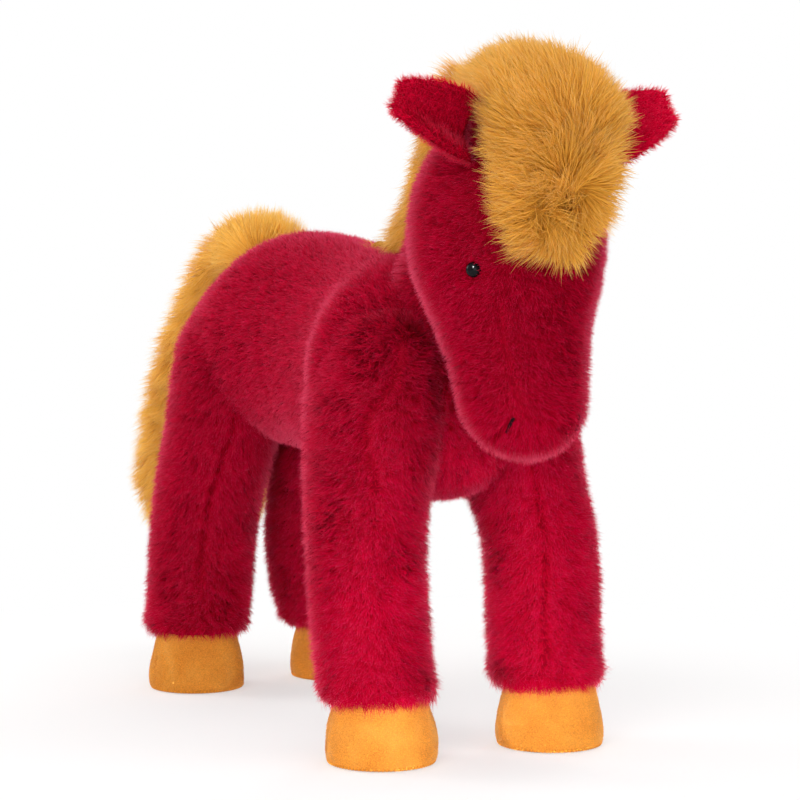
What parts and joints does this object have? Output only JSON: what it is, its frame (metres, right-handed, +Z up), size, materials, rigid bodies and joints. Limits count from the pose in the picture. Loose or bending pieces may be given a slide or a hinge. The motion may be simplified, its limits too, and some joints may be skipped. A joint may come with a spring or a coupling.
{
  "type": "plush horse",
  "caption": "Standing stuffed plush horse with suede hooves, a long-pile mane, forelock and tail, ears that fold at their seams and a tail that lifts.",
  "frame": {"origin": "on the ground, under the middle of the bounding box", "axes": "+Z up, the horse faces -Y, its left side is +X"},
  "size_m": [0.1452, 0.44, 0.3286],
  "materials": {
    "plush_red": "dense crimson plush pile",
    "plush_gold": "long golden plush pile",
    "suede_gold": "short-napped suede cloth",
    "fibre_white": "loose polyester fibre",
    "eye_black": "polished",
    "washer_clear": "moulded",
    "thread_dark": "twisted thread"
  },
  "bodies": {
    "horse": {"torso_skin": "plush_red", "neck_skin": "plush_red", "head_skin": "plush_red", "leg_front_right_skin": "plush_red", "hoof_front_right": "suede_gold", "hoof_sole_front_right": "suede_gold", "leg_front_left_skin": "plush_red", "hoof_front_left": "suede_gold", "hoof_sole_front_left": "suede_gold", "leg_hind_right_skin": "plush_red", "hoof_hind_right": "suede_gold", "hoof_sole_hind_right": "suede_gold", "leg_hind_left_skin": "plush_red", "hoof_hind_left": "suede_gold", "hoof_sole_hind_left": "suede_gold", "fibre_fill": "fibre_white", "mane": "plush_gold", "forelock": "plush_gold", "eye_right": "eye_black", "eye_left": "eye_black", "eye_washer_right": "washer_clear", "eye_washer_left": "washer_clear", "nostril_stitch_right": "thread_dark", "nostril_stitch_left": "thread_dark"},
    "tail": {"tail": "plush_gold"},
    "ear_right": {"ear_outer_right": "plush_red", "ear_lining_right": "plush_red"},
    "ear_left": {"ear_outer_left": "plush_red", "ear_lining_left": "plush_red"}
  },
  "joints": [
    {"name": "tail_lift", "type": "hinge", "parent": "horse", "child": "tail", "pos_m": [0, 0.12418, 0.23691], "axis": [1, 0, 0], "range_deg": [0, 50]},
    {"name": "ear_right_fold", "type": "hinge", "parent": "horse", "child": "ear_right", "pos_m": [-0.03181, -0.1744, 0.2908], "axis": [0.3349, 0.071, 0.9396], "range_deg": [-20, 20], "stiffness_Nm_per_rad": 0.02},
    {"name": "ear_left_fold", "type": "hinge", "parent": "horse", "child": "ear_left", "pos_m": [0.03181, -0.1744, 0.2908], "axis": [-0.3349, 0.071, 0.9396], "range_deg": [-20, 20], "stiffness_Nm_per_rad": 0.02}
  ]
}
